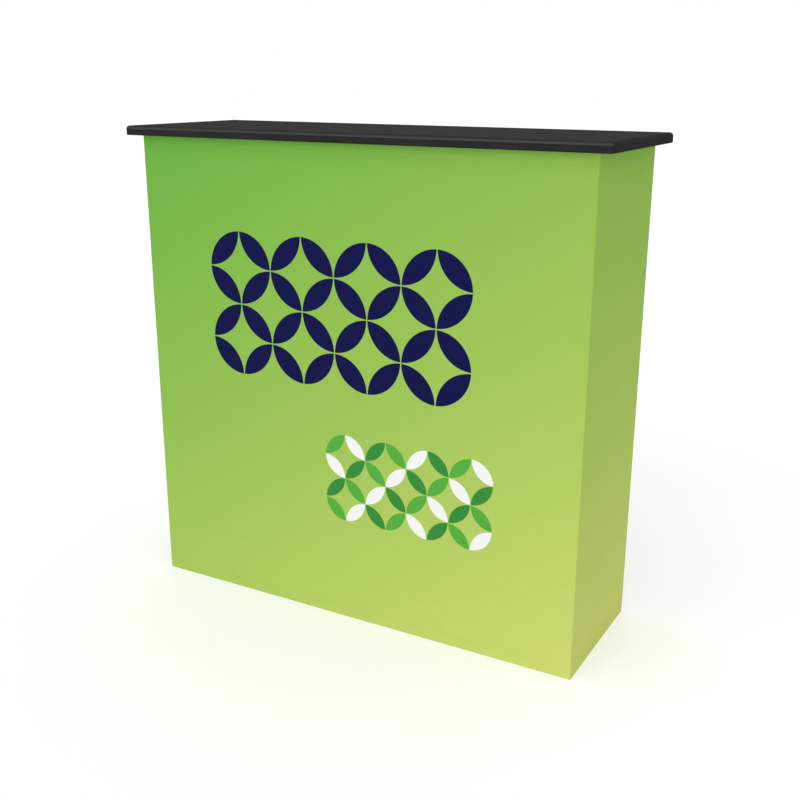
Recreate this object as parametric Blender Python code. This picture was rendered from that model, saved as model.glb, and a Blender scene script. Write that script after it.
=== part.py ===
"""Pop-up exhibition counter.

A folding frame of scissor bars stands two bays wide, two storeys high and one bay deep.
A tension fabric cover goes round its front and both ends, and a loose board lies on top.
The counter faces -Y, stands on the ground at z = 0 and is centred on x = 0 and y = 0.
"""

import math

import bmesh
import bpy
from mathutils import Matrix, Vector

# Overall sizes
bay_pitch = 0.4627
counter_depth = 0.314
board_thickness = 0.019
board_overhang_side = 0.0275
board_overhang_front = 0.023
foot_height = 0.005

# Gaps between pieces that touch, and between pieces that turn on each other
touch_gap = 0.0003
pivot_play = 0.0003

# Scissor bars: a flat tube with a moulded tongue plugged into each end
bar_width = 0.014
bar_thickness = 0.008
bar_edge_chamfer = 0.0022
tongue_thickness = 0.006
tongue_width = 0.010
tongue_reach = 0.014
tongue_plug = 0.004
pin_radius = 0.0025
rivet_head_radius = 0.0046
rivet_head_height = 0.0014

# Hubs: a plate with four clevises set pinwheel fashion round a boss
hub_plate = 0.004
hub_side_margin = 0.005
hub_end_margin = 0.002
hub_corner_radius = 0.006
ear_thickness = 0.003
plate_clearance = 0.001
crossing_clearance = 0.00085
boss_clearance = 0.001
boss_height = 0.006
spigot_radius = 0.003
spigot_length = 0.012

# Locking struts: a socket half on the front hub and a plug half on the back hub
strut_radius = 0.005
collar_radius = 0.0075
collar_length = 0.018
collar_chamfer = 0.0015
plug_length = 0.010
plug_point = 0.0015
strut_cap = 0.003

# Feet
foot_depth = 0.018
foot_corner_radius = 0.004
foot_lip_width = 0.006
foot_lip_height = 0.006
foot_lip_thickness = 0.0025
foot_lip_clearance = 0.0025

# Counter board
board_corner_radius = 0.008
board_top_round = 0.007
board_under_chamfer = 0.001

# Fabric cover
cover_thickness = 0.0015
cover_return = 0.050

# How far a piece reaches into the one it is fused with, and how far a cutter passes a face
overrun = 0.001

# Points closer than this are one point, and flatter edges than this angle are shaded smooth
weld_distance = 0.000003
crease_angle = math.radians(35)

# Counts: sides of round pieces and steps of rounded corners
pin_sides = 8
boss_sides = 8
strut_sides = 8
ear_arc_steps = 4
tongue_arc_steps = 4
plate_corner_steps = 1
foot_corner_steps = 2
board_corner_steps = 4
board_round_steps = 3

# Where the bars lie: the two of a pair run side by side on either side of the hub axis
bar_level = (bar_thickness + pivot_play) / 2
bar_half = bar_width / 2
pin_offset = bar_level + bar_thickness / 2 + crossing_clearance + bar_half
pin_inset = hub_plate + plate_clearance + tongue_width / 2
bore_radius = (pin_radius + pivot_play) / math.cos(math.pi / pin_sides)

# Hub outline and the overall sizes that follow from it
hub_width = 2 * (pin_offset + bar_half + hub_side_margin)
hub_height = 2 * (pin_offset + bar_half + hub_end_margin)
boss_radius = pin_offset - bar_half - boss_clearance
boss_top = hub_plate + boss_height - pin_inset
cover_width = 2 * (bay_pitch + hub_width / 2 + touch_gap + cover_thickness)
hub_base = foot_height + touch_gap
board_under = hub_base + hub_height + 2 * bay_pitch + touch_gap
cover_height = board_under - touch_gap

# Pins of the front and back hubs, and the length and slope of a bar between them
pin_plane = counter_depth / 2 - cover_thickness - touch_gap - pin_inset
pin_run = bay_pitch - 2 * pin_offset
bar_length = math.hypot(pin_run, 2 * pin_plane)
bar_slope = math.atan2(2 * pin_plane, pin_run)

# Slot between the two ears of a clevis
slot_near = bar_level - tongue_thickness / 2 - pivot_play
slot_far = bar_level + tongue_thickness / 2 + pivot_play

columns = ("left", "centre", "right")
rows = ("bottom", "middle", "top")
storeys = ("lower", "upper")
axis_x = Vector((1, 0, 0))
axis_y = Vector((0, 1, 0))
axis_z = Vector((0, 0, 1))

for old in list(bpy.data.objects):
    bpy.data.objects.remove(old)


# Materials

def material(name, colour, roughness, metallic):
    made = bpy.data.materials.new(name)
    made.use_nodes = True
    shader = made.node_tree.nodes["Principled BSDF"]
    shader.inputs["Base Color"].default_value = (*colour, 1)
    shader.inputs["Roughness"].default_value = roughness
    shader.inputs["Metallic"].default_value = metallic
    made.diffuse_color = (*colour, 1)
    return made


black_plastic = material("black_plastic", (0.03, 0.03, 0.033), 0.45, 0)
bar_metal = material("bar_metal", (0.62, 0.63, 0.65), 0.35, 1)
strut_plastic = material("strut_plastic", (0.09, 0.09, 0.10), 0.4, 0)
foot_rubber = material("foot_rubber", (0.02, 0.02, 0.02), 0.8, 0)
board_laminate = material("board_laminate", (0.035, 0.035, 0.036), 0.4, 0)
cover_fabric = material("cover_fabric", (0.33, 0.57, 0.12), 0.75, 0)


# Solids from outlines, profiles and Booleans

def closed_mesh(name, bm):
    bmesh.ops.recalc_face_normals(bm, faces=bm.faces)
    mesh = bpy.data.meshes.new(name)
    bm.to_mesh(mesh)
    bm.free()
    return mesh


def arc(centre, radius, start, end, steps):
    angles = [start + (end - start) * step / steps for step in range(steps + 1)]
    return [(centre[0] + radius * math.cos(a), centre[1] + radius * math.sin(a)) for a in angles]


def rounded_rectangle(low, high, radius, steps):
    quarter = math.pi / 2
    corners = (
        (high[0] - radius, high[1] - radius),
        (low[0] + radius, high[1] - radius),
        (low[0] + radius, low[1] + radius),
        (high[0] - radius, low[1] + radius),
    )
    outline = []
    for turn, centre in enumerate(corners):
        outline += arc(centre, radius, turn * quarter, (turn + 1) * quarter, steps)
    return outline


def prism(name, outline, start, end, across, up, along):
    """An outline in the plane of across and up, extruded along the third axis from start to end."""
    bm = bmesh.new()
    ring = [bm.verts.new(across * u + up * v + along * start) for u, v in outline]
    face = bm.faces.new(ring)
    swept = bmesh.ops.extrude_face_region(bm, geom=[face])["geom"]
    moved = [part for part in swept if isinstance(part, bmesh.types.BMVert)]
    bmesh.ops.translate(bm, vec=along * (end - start), verts=moved)
    return closed_mesh(name, bm)


def revolve(name, profile, sides):
    """A closed profile of (radius, y) points turned about the Y axis."""
    bm = bmesh.new()
    ring = [bm.verts.new((radius, y, 0)) for radius, y in profile]
    edges = [bm.edges.new((ring[i - 1], ring[i])) for i in range(len(ring))]
    bmesh.ops.spin(bm, geom=ring + edges, cent=(0, 0, 0), axis=axis_y, angle=2 * math.pi, steps=sides)
    bmesh.ops.remove_doubles(bm, verts=bm.verts, dist=weld_distance)
    bmesh.ops.dissolve_degenerate(bm, edges=bm.edges, dist=weld_distance)
    return closed_mesh(name, bm)


def rod(name, radius, sides, centre, start, end, across, up, along):
    """A round bar along one axis, with flats square to across."""
    outline = arc(centre, radius, math.pi / sides, 2 * math.pi + math.pi / sides, sides)[:-1]
    return prism(name, outline, start, end, across, up, along)


def combined(name, base, added, cut):
    """The base mesh with the added meshes fused on and the cut meshes taken away."""
    scene = bpy.context.scene.collection
    work = bpy.data.objects.new(name, base)
    scene.objects.link(work)
    helpers = []
    for operation, meshes in (("UNION", added), ("DIFFERENCE", cut)):
        for mesh in meshes:
            helper = bpy.data.objects.new("helper", mesh)
            scene.objects.link(helper)
            helpers.append(helper)
            boolean = work.modifiers.new("boolean", "BOOLEAN")
            boolean.operation = operation
            boolean.solver = "EXACT"
            boolean.object = helper
    depsgraph = bpy.context.evaluated_depsgraph_get()
    mesh = bpy.data.meshes.new_from_object(work.evaluated_get(depsgraph))
    mesh.name = name
    for used in helpers + [work]:
        bpy.data.objects.remove(used)
    return mesh


# Bodies and pieces: each moving body is an empty on its joint's axis, and carries its pieces

bodies = {}


def add_body(name, parent, pivot):
    empty = bpy.data.objects.new("pivot_" + name, None)
    bpy.context.scene.collection.objects.link(empty)
    empty.empty_display_size = hub_width / 2
    empty.location = pivot
    if parent:
        empty.parent = bodies[parent]["empty"]
        empty.location = pivot - bodies[parent]["pivot"]
    bodies[name] = {"empty": empty, "pivot": pivot}


def add_piece(name, mesh, finish, body, place, turn=Matrix.Identity(3)):
    piece = bpy.data.objects.new(name, mesh)
    bpy.context.scene.collection.objects.link(piece)
    if not mesh.materials:
        mesh.materials.append(finish)
    piece.parent = bodies[body]["empty"]
    piece.location = place - bodies[body]["pivot"]
    piece.rotation_euler = turn.to_euler()
    return piece


def shade(mesh):
    mesh.shade_smooth()
    mesh.set_sharp_from_angle(angle=crease_angle)


# Hub: its own frame has the pins in the plane y = 0 and the outer face towards -Y

def hub_mesh():
    corner = (hub_width / 2, hub_height / 2)
    low = (-corner[0], -corner[1])
    outline = rounded_rectangle(low, corner, hub_corner_radius, plate_corner_steps)
    plate_inside = hub_plate - pin_inset
    plate = prism("hub_plate", outline, -pin_inset, plate_inside, axis_x, axis_z, axis_y)

    ear_outline = [
        (pin_offset + bar_half, plate_inside - overrun),
        *arc((pin_offset, 0), bar_half, 0, math.pi, ear_arc_steps),
        (pin_offset - bar_half, plate_inside - overrun),
    ]
    added = []
    for outward, level in ((axis_x, axis_z), (-axis_x, -axis_z), (axis_z, axis_x), (-axis_z, -axis_x)):
        for near in (slot_near - ear_thickness, slot_far):
            added.append(prism("ear", ear_outline, near, near + ear_thickness, outward, axis_y, level))
        added.append(rod("pin", pin_radius, pin_sides, (pin_offset, 0), slot_near - overrun,
                         slot_far + overrun, outward, axis_y, level))

    added.append(rod("boss", boss_radius, boss_sides, (0, 0), plate_inside - overrun, boss_top,
                     axis_x, axis_z, axis_y))
    added.append(rod("spigot", spigot_radius, pin_sides, (0, 0), boss_top - overrun,
                     boss_top + spigot_length, axis_x, axis_z, axis_y))
    return combined("hub", plate, added, [])


# Bar: its own frame has the rivet at the origin, the length along X and the pins along Z

def bar_mesh(name, level, with_rivet):
    half = bar_length / 2
    chamfered = rounded_rectangle(
        (-bar_half, level - bar_thickness / 2),
        (bar_half, level + bar_thickness / 2),
        bar_edge_chamfer,
        1,
    )
    tube_end = half - tongue_reach
    tube = prism(name, chamfered, -tube_end, tube_end, axis_y, axis_z, axis_x)

    quarter = math.pi / 2
    tongue_outline = [
        (tube_end - tongue_plug, -tongue_width / 2),
        *arc((half, 0), tongue_width / 2, -quarter, quarter, tongue_arc_steps),
        (tube_end - tongue_plug, tongue_width / 2),
    ]
    low = level - tongue_thickness / 2
    high = level + tongue_thickness / 2
    added = [prism("tongue", tongue_outline, low, high, side, axis_y, axis_z) for side in (axis_x, -axis_x)]
    through_low = level - bar_thickness / 2 - overrun
    through_high = level + bar_thickness / 2 + overrun
    bores = [(half, 0), (-half, 0)]
    if with_rivet:
        head_base = bar_level + bar_thickness / 2 + pivot_play
        added.append(rod("rivet", pin_radius, pin_sides, (0, 0), level, head_base + overrun,
                         axis_x, axis_y, axis_z))
        added.append(rod("rivet_head", rivet_head_radius, pin_sides, (0, 0), head_base,
                         head_base + rivet_head_height, axis_x, axis_y, axis_z))
    else:
        bores.append((0, 0))
    cut = [rod("bore", bore_radius, pin_sides, centre, through_low, through_high, axis_x, axis_y, axis_z)
           for centre in bores]
    return combined(name, tube, added, cut)


# Struts: in the hub's own frame, from its boss to the middle of the frame's depth

strut_start = boss_top + touch_gap
strut_end = pin_plane - touch_gap / 2
strut_bore = (spigot_radius + touch_gap) / math.cos(math.pi / strut_sides)
plug_radius = strut_bore * math.cos(math.pi / strut_sides) - touch_gap


def strut_socket_mesh():
    profile = [
        (strut_bore, strut_start),
        (strut_radius, strut_start),
        (strut_radius, strut_end - collar_length),
        (collar_radius, strut_end - collar_length + collar_chamfer),
        (collar_radius, strut_end),
        (strut_bore, strut_end),
    ]
    return revolve("strut_socket", profile, strut_sides)


def strut_plug_mesh():
    bore_floor = strut_end - collar_length - strut_cap
    profile = [
        (0, bore_floor),
        (strut_bore, bore_floor),
        (strut_bore, strut_start),
        (strut_radius, strut_start),
        (strut_radius, strut_end - collar_length),
        (collar_radius, strut_end - collar_length + collar_chamfer),
        (collar_radius, strut_end),
        (plug_radius, strut_end),
        (plug_radius, strut_end + plug_length - plug_point),
        (plug_radius - plug_point, strut_end + plug_length),
        (0, strut_end + plug_length),
    ]
    return revolve("strut_plug", profile, strut_sides)


# Foot: in the hub's own frame, with two lips that hook behind the plate's lower edge

def foot_mesh():
    lip_start = slot_far + ear_thickness + foot_lip_clearance
    half_length = lip_start + foot_lip_width
    outer = -pin_inset
    outline = rounded_rectangle((-half_length, outer), (half_length, outer + foot_depth),
                                foot_corner_radius, foot_corner_steps)
    seat = -hub_height / 2 - touch_gap
    pad = prism("foot", outline, seat - foot_height, seat, axis_x, axis_y, axis_z)
    lip_face = outer + hub_plate + touch_gap
    lip_outline = [
        (lip_face, seat - overrun),
        (lip_face + 2 * foot_lip_thickness, seat - overrun),
        (lip_face + foot_lip_thickness, seat + foot_lip_height),
        (lip_face, seat + foot_lip_height),
    ]
    lips = [prism("lip", lip_outline, lip_start, half_length, axis_y, axis_z, side)
            for side in (axis_x, -axis_x)]
    return combined("foot", pad, lips, [])


# Counter board, in place

def board_mesh():
    corner = (cover_width / 2 + board_overhang_side, counter_depth / 2 + board_overhang_front)
    low = (-corner[0], -corner[1])
    outline = rounded_rectangle(low, corner, board_corner_radius, board_corner_steps)
    blank = prism("board", outline, board_under, board_under + board_thickness, axis_x, axis_y, axis_z)
    bm = bmesh.new()
    bm.from_mesh(blank)
    middle = board_under + board_thickness / 2
    level_edges = [edge for edge in bm.edges if abs(edge.verts[0].co.z - edge.verts[1].co.z) < touch_gap]
    top_edges = [edge for edge in level_edges if edge.verts[0].co.z > middle]
    under_edges = [edge for edge in level_edges if edge.verts[0].co.z < middle]
    bmesh.ops.bevel(bm, geom=top_edges, offset=board_top_round, segments=board_round_steps,
                    profile=0.5, affect="EDGES")
    bmesh.ops.bevel(bm, geom=under_edges, offset=board_under_chamfer, segments=1, affect="EDGES")
    bpy.data.meshes.remove(blank)
    return closed_mesh("board", bm)


# Fabric cover, in place: a front panel and two end panels that turn in behind the back hubs

def cover_front_mesh():
    front = -counter_depth / 2
    half = cover_width / 2
    outline = [(-half, front), (half, front), (half, front + cover_thickness), (-half, front + cover_thickness)]
    return prism("cover_front", outline, 0, cover_height, axis_x, axis_y, axis_z)


def cover_end_mesh(side):
    outer = cover_width / 2
    inner = outer - cover_thickness
    back = counter_depth / 2
    outline = [
        (outer, -back + cover_thickness + touch_gap),
        (outer, back),
        (outer - cover_return, back),
        (outer - cover_return, back - cover_thickness),
        (inner, back - cover_thickness),
        (inner, -back + cover_thickness + touch_gap),
    ]
    return prism("cover_end", outline, 0, cover_height, side, axis_y, axis_z)


# Places on the grid of hubs

hub_turn = {"front": Matrix.Identity(3), "back": Matrix.Rotation(math.pi, 3, "Z")}
upright_turn = Matrix(((0, 0, 1), (0, -1, 0), (1, 0, 0)))


def hub_name(side, column, row):
    return f"hub_{side}_{columns[column]}_{rows[row]}"


def hub_place(side, column, row):
    depth = pin_plane if side == "back" else -pin_plane
    height = hub_base + hub_height / 2 + row * bay_pitch
    return Vector(((column - 1) * bay_pitch, depth, height))


def level_bar(column, row, hand):
    """A bar that lies level between two columns: its name, its left and right pins and its turn."""
    left_side, right_side = ("front", "back") if hand == "a" else ("back", "front")
    slope = bar_slope if hand == "a" else -bar_slope
    return {
        "name": f"level_bar_{rows[row]}_{columns[2 * column]}_{hand}",
        "start": hub_place(left_side, column, row) + axis_x * pin_offset,
        "end": hub_place(right_side, column + 1, row) - axis_x * pin_offset,
        "turn": Matrix.Rotation(slope, 3, "Z"),
        "hand": hand,
    }


def upright_bar(column, storey, hand):
    """A bar that climbs between two rows: its name, its lower and upper pins and its turn."""
    low_side, high_side = ("front", "back") if hand == "a" else ("back", "front")
    slope = -bar_slope if hand == "a" else bar_slope
    return {
        "name": f"upright_bar_{columns[column]}_{storeys[storey]}_{hand}",
        "start": hub_place(low_side, column, storey) + axis_z * pin_offset,
        "end": hub_place(high_side, column, storey + 1) - axis_z * pin_offset,
        "turn": Matrix.Rotation(slope, 3, "X") @ upright_turn,
        "hand": hand,
    }


# Meshes that several pieces share

hub = hub_mesh()
bars = {"a": bar_mesh("bar_bored", bar_level, False), "b": bar_mesh("bar_riveted", -bar_level, True)}
strut_socket = strut_socket_mesh()
strut_plug = strut_plug_mesh()
foot = foot_mesh()
for mesh in (hub, bars["a"], bars["b"], strut_socket, strut_plug, foot):
    shade(mesh)


# Building the frame, outwards from the front centre hub that stands on the ground

def add_hub(side, column, row, parent, pivot):
    name = hub_name(side, column, row)
    place = hub_place(side, column, row)
    turn = hub_turn[side]
    add_body(name, parent, pivot)
    add_piece(name, hub, black_plastic, name, place, turn)
    if row == 0:
        add_piece(f"foot_{side}_{columns[column]}", foot, foot_rubber, name, place, turn)
    if column != 1 and row != 1:
        half = strut_socket if side == "front" else strut_plug
        strut = f"strut_{side}_{columns[column]}_{rows[row]}"
        add_piece(strut, half, strut_plastic, name, place, turn)


def add_bar(bar, parent, pivot):
    middle = (bar["start"] + bar["end"]) / 2
    add_body(bar["name"], parent, pivot)
    add_piece(bar["name"], bars[bar["hand"]], bar_metal, bar["name"], middle, bar["turn"])


def add_pair(first, second, parent, pivot):
    """The bar pinned to a hub that is already there, and the one that crosses it at the rivet."""
    add_bar(first, parent, pivot)
    add_bar(second, first["name"], (second["start"] + second["end"]) / 2)


add_hub("front", 1, 0, None, hub_place("front", 1, 0))
for storey in range(2):
    climbing = upright_bar(1, storey, "a")
    crossing = upright_bar(1, storey, "b")
    add_pair(climbing, crossing, hub_name("front", 1, storey), climbing["start"])
    if storey == 0:
        add_hub("back", 1, 0, crossing["name"], crossing["start"])
    add_hub("front", 1, storey + 1, crossing["name"], crossing["end"])
    add_hub("back", 1, storey + 1, climbing["name"], climbing["end"])

for row in range(3):
    right_a = level_bar(1, row, "a")
    right_b = level_bar(1, row, "b")
    add_pair(right_a, right_b, hub_name("front", 1, row), right_a["start"])
    add_hub("back", 2, row, right_a["name"], right_a["end"])
    add_hub("front", 2, row, right_b["name"], right_b["end"])
    left_a = level_bar(0, row, "a")
    left_b = level_bar(0, row, "b")
    add_pair(left_b, left_a, hub_name("front", 1, row), left_b["end"])
    add_hub("back", 0, row, left_b["name"], left_b["start"])
    add_hub("front", 0, row, left_a["name"], left_a["start"])

for column in (0, 2):
    for storey in range(2):
        climbing = upright_bar(column, storey, "a")
        crossing = upright_bar(column, storey, "b")
        add_pair(climbing, crossing, hub_name("front", column, storey), climbing["start"])


# Cover on the standing hub, and the board on the hub above it

ground = Vector((0, 0, 0))
standing_hub = hub_name("front", 1, 0)
add_piece("cover_front", cover_front_mesh(), cover_fabric, standing_hub, ground)
add_piece("cover_end_left", cover_end_mesh(-axis_x), cover_fabric, standing_hub, ground)
add_piece("cover_end_right", cover_end_mesh(axis_x), cover_fabric, standing_hub, ground)

add_body("counter_board", hub_name("front", 1, 2), Vector((0, 0, board_under)))
board = board_mesh()
shade(board)
add_piece("counter_board", board, board_laminate, "counter_board", ground)
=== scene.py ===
import math

import bmesh
import bpy
from mathutils import Matrix, Vector


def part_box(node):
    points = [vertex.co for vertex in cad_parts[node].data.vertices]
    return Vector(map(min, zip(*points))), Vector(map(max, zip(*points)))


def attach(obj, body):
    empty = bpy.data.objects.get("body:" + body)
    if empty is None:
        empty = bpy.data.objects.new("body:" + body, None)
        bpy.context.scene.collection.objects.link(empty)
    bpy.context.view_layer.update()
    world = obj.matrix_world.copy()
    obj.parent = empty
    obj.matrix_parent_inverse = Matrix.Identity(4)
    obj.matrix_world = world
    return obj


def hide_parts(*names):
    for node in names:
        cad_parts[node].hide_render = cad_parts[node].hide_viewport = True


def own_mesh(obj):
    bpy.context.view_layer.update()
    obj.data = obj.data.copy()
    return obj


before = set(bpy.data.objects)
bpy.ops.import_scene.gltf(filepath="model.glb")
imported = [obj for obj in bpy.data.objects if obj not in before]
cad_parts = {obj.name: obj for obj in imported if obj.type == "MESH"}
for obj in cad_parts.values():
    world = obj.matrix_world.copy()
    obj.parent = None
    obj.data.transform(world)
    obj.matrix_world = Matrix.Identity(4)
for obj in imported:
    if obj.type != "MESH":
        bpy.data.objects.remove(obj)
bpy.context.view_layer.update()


# Camera
# It stands in front of the counter and to its right, a little above the board, and looks
# slightly down on it. Its place and lens come from the corners seen in the photograph.

camera_place = Vector((1.0634, -1.8441, 1.0995))
camera_yaw = 0.51033
camera_pitch = 0.30004
camera_roll = 0.00364
camera_lens = 47.16

view = bpy.data.cameras.new("camera")
view.lens = camera_lens
camera = bpy.data.objects.new("camera", view)
bpy.context.scene.collection.objects.link(camera)
camera.matrix_world = (
    Matrix.Translation(camera_place)
    @ Matrix.Rotation(camera_yaw, 4, "Z")
    @ Matrix.Rotation(math.pi / 2 - camera_pitch, 4, "X")
    @ Matrix.Rotation(camera_roll, 4, "Z")
)
bpy.context.scene.camera = camera
bpy.context.scene.view_settings.view_transform = "Standard"


# Room
# A plain white studio: an even white sky, a broad soft lamp low down in front with a weak one
# to the right, and a pale floor that fades into the white but keeps the counter's shadow.

floor_reach = 30
floor_sides = 64
floor_grey = 0.75
floor_lift = 0.37
sky_light = 0.81
lamps = (
    ("front_lamp", 1.08, 70, Vector((0.22, 0.95, -0.24))),
    ("side_lamp", 0.04, 80, Vector((-0.95, 0.20, -0.20))),
)


def put(finish, kind, inputs, **settings):
    """Adds a node to a finish or world. An input that is another node's output is linked to it."""
    made = finish.node_tree.nodes.new(kind)
    for name, value in settings.items():
        setattr(made, name, value)
    for name, value in inputs.items():
        if isinstance(value, bpy.types.NodeSocket):
            finish.node_tree.links.new(value, made.inputs[name])
        else:
            made.inputs[name].default_value = value
    return made


def maths(finish, operation, *values):
    """The result of one sum on numbers or on other nodes' outputs."""
    return put(finish, "ShaderNodeMath", dict(enumerate(values)), operation=operation).outputs[0]


def seen_directly(finish):
    """1 where the eye meets the surface, straight or by way of a gloss or a clear piece."""
    path = put(finish, "ShaderNodeLightPath", {})
    gloss = maths(
        finish, "MAXIMUM", path.outputs["Is Glossy Ray"], path.outputs["Is Transmission Ray"],
    )
    return maths(finish, "MAXIMUM", path.outputs["Is Camera Ray"], gloss)


sky = bpy.data.worlds.new("studio_sky")
bpy.context.scene.world = sky
sky.use_nodes = True
sky.node_tree.nodes.clear()
sky_strength = maths(sky, "MULTIPLY_ADD", seen_directly(sky), 1 - sky_light, sky_light)
glow = put(sky, "ShaderNodeBackground", {"Color": (1, 1, 1, 1), "Strength": sky_strength})
put(sky, "ShaderNodeOutputWorld", {"Surface": glow.outputs[0]})

for name, strength, spread, towards in lamps:
    lamp = bpy.data.lights.new(name, "SUN")
    lamp.energy = strength
    lamp.angle = math.radians(spread)
    lamp_stand = bpy.data.objects.new(name, lamp)
    lamp_stand.rotation_euler = towards.to_track_quat("-Z", "Y").to_euler()
    bpy.context.scene.collection.objects.link(lamp_stand)

bpy.ops.object.select_all(action="DESELECT")
bpy.ops.mesh.primitive_circle_add(vertices=floor_sides, radius=floor_reach, fill_type="NGON")
floor = bpy.context.object
floor.name = "studio_floor"
floor_finish = bpy.data.materials.new("studio_floor")
floor_finish.use_nodes = True
floor_finish.node_tree.nodes.clear()
floor_colour = (floor_grey, floor_grey, floor_grey, 1)
matt = put(floor_finish, "ShaderNodeBsdfDiffuse", {"Color": floor_colour})
lift = put(floor_finish, "ShaderNodeEmission", {
    "Color": (1, 1, 1, 1),
    "Strength": maths(floor_finish, "MULTIPLY", seen_directly(floor_finish), floor_lift),
})
floor_sum = put(floor_finish, "ShaderNodeAddShader", {0: matt.outputs[0], 1: lift.outputs[0]})
put(floor_finish, "ShaderNodeOutputMaterial", {"Surface": floor_sum.outputs[0]})
floor.data.materials.append(floor_finish)


# Hubs
# The frame turns on eighteen hubs, moulded in black glass-filled nylon: a plate, four clevises
# set pinwheel fashion round a boss with a spigot, and stiffening webs. A riveted steel pin goes
# through each clevis, and a pad of hook tape in the outer face holds the cover.

plate_half_width = 0.028
plate_half_height = 0.025
plate_outside = -0.010
plate_inside = -0.006
plate_corner = 0.006
pin_offset = 0.016
bar_level = 0.00415
ear_inner = 0.0033
ear_outer = 0.0063
ear_half_width = 0.007
pin_radius = 0.0025
boss_radius = 0.008
spigot_radius = 0.003
spigot_end = 0.012
pad_margin = 0.0032
pad_recess = 0.0010
pad_gap = 0.0009
pad_rise = 0.0007
root_spread = 0.0012
root_height = 0.0014
web_start = 0.0070
web_end = 0.0245
web_height = 0.0022
web_half_width = 0.0008
sunk_in = 0.0005
fine_edge = 0.0003
smooth_angle = 40
nearly_round = 0.999
straight = 0.99
hair = 1e-5


def painted(red, green, blue):
    """A colour given as it is seen, from 0 to 255, in the form that a shader takes."""
    seen = [part / 255 for part in (red, green, blue)]
    return (*[c / 12.92 if c < 0.04045 else ((c + 0.055) / 1.055) ** 2.4 for c in seen], 1)


def new_finish(name):
    """A material with its shader and output, to which the other nodes are added."""
    made = bpy.data.materials.new(name)
    made.use_nodes = True
    return made, made.node_tree.nodes["Principled BSDF"]


def ramped(finish, share, *stops):
    """A colour that goes through stops of place and colour as a share goes from 0 to 1."""
    made = put(finish, "ShaderNodeValToRGB", {"Fac": share})
    points = made.color_ramp.elements
    while len(points) < len(stops):
        points.new(1)
    for point, (place, colour) in zip(points, stops):
        point.position = place
        point.color = colour
    return made.outputs["Color"]


def moulded_finish(name, colour, paler, roughness, grain, relief):
    """Plastic, rubber or melamine: a fine grain, faint cloudiness and some rubbed places."""
    finish, shader = new_finish(name)
    where = put(finish, "ShaderNodeTexCoord", {}).outputs["Object"]
    cloud = put(finish, "ShaderNodeTexNoise", {
        "Vector": where, "Scale": 90, "Detail": 4, "Roughness": 0.6,
    })
    speck = put(finish, "ShaderNodeTexNoise", {"Vector": where, "Scale": grain, "Detail": 2})
    wear_and_painted_highlight = ramped(finish, cloud.outputs["Fac"], (0.35, colour), (0.75, paler))
    dull = put(finish, "ShaderNodeMapRange", {
        "Value": speck.outputs["Fac"], "To Min": roughness - 0.08, "To Max": roughness + 0.08,
    })
    bump = put(finish, "ShaderNodeBump", {
        "Height": speck.outputs["Fac"], "Strength": relief, "Distance": 0.0001,
    })
    finish.node_tree.links.new(wear_and_painted_highlight, shader.inputs["Base Color"])
    finish.node_tree.links.new(dull.outputs["Result"], shader.inputs["Roughness"])
    finish.node_tree.links.new(bump.outputs["Normal"], shader.inputs["Normal"])
    return finish


def only(piece):
    """Makes one piece the selected and active one."""
    bpy.ops.object.select_all(action="DESELECT")
    piece.select_set(True)
    bpy.context.view_layer.objects.active = piece


def settled(name, finish):
    """Names the primitive just added, keeps its place in its mesh and gives it a finish."""
    piece = bpy.context.object
    piece.name = name
    bpy.ops.object.transform_apply(location=True, rotation=True, scale=True)
    piece.data.materials.append(finish)
    return piece


def block(name, low, high, finish):
    """A block from its lowest corner to its highest."""
    low, high = Vector(low), Vector(high)
    bpy.ops.object.select_all(action="DESELECT")
    bpy.ops.mesh.primitive_cube_add(size=1, location=(low + high) / 2, scale=high - low)
    return settled(name, finish)


def pick(piece, kind, wanted):
    """Goes into edit mode and selects the faces or edges that are wanted, by middle and by way."""
    if bpy.context.mode != "EDIT_MESH":
        only(piece)
        bpy.ops.object.mode_set(mode="EDIT")
    bpy.ops.mesh.select_mode(type=kind)
    bpy.ops.mesh.select_all(action="DESELECT")
    shape = bmesh.from_edit_mesh(piece.data)
    if kind == "FACE":
        for face in shape.faces:
            if wanted(face.calc_center_median(), face.normal):
                face.select_set(True)
    else:
        for edge in shape.edges:
            near, far = (point.co for point in edge.verts)
            if wanted((near + far) / 2, (far - near).normalized()):
                edge.select_set(True)
    bmesh.update_edit_mesh(piece.data)


def leave_editing():
    bpy.ops.object.mode_set(mode="OBJECT")


def push(x, y, z):
    """Extrudes the selected faces or edges by that much."""
    bpy.ops.mesh.extrude_region_move(TRANSFORM_OT_translate={"value": (x, y, z)})


def cover_picked(piece, finish):
    """Gives the selected faces another finish."""
    piece.data.materials.append(finish)
    piece.active_material_index = len(piece.data.materials) - 1
    bpy.ops.object.material_slot_assign()


def turned(name, steps, sides, finish):
    """A round piece that rises along Z through steps of radius and height."""
    (low_radius, low), (high_radius, high) = steps[:2]
    bpy.ops.object.select_all(action="DESELECT")
    bpy.ops.mesh.primitive_cone_add(
        vertices=sides, radius1=low_radius, radius2=high_radius, depth=high - low,
        location=(0, 0, (low + high) / 2),
    )
    piece = settled(name, finish)
    pick(piece, "FACE", lambda middle, way: way.z > straight and middle.z > high - hair)
    for (radius, height), (next_radius, next_height) in zip(steps[1:], steps[2:]):
        push(0, 0, next_height - height)
        scale = next_radius / radius
        bpy.ops.transform.resize(value=(scale, scale, 1), center_override=(0, 0, next_height))
    bpy.ops.mesh.select_all(action="SELECT")
    bpy.ops.mesh.normals_make_consistent(inside=False)
    leave_editing()
    return piece


def laid(piece, *turns):
    """Turns a piece's mesh about the origin, or moves it, by each matrix in order."""
    for turn in turns:
        piece.data.transform(turn)
    return piece


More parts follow.
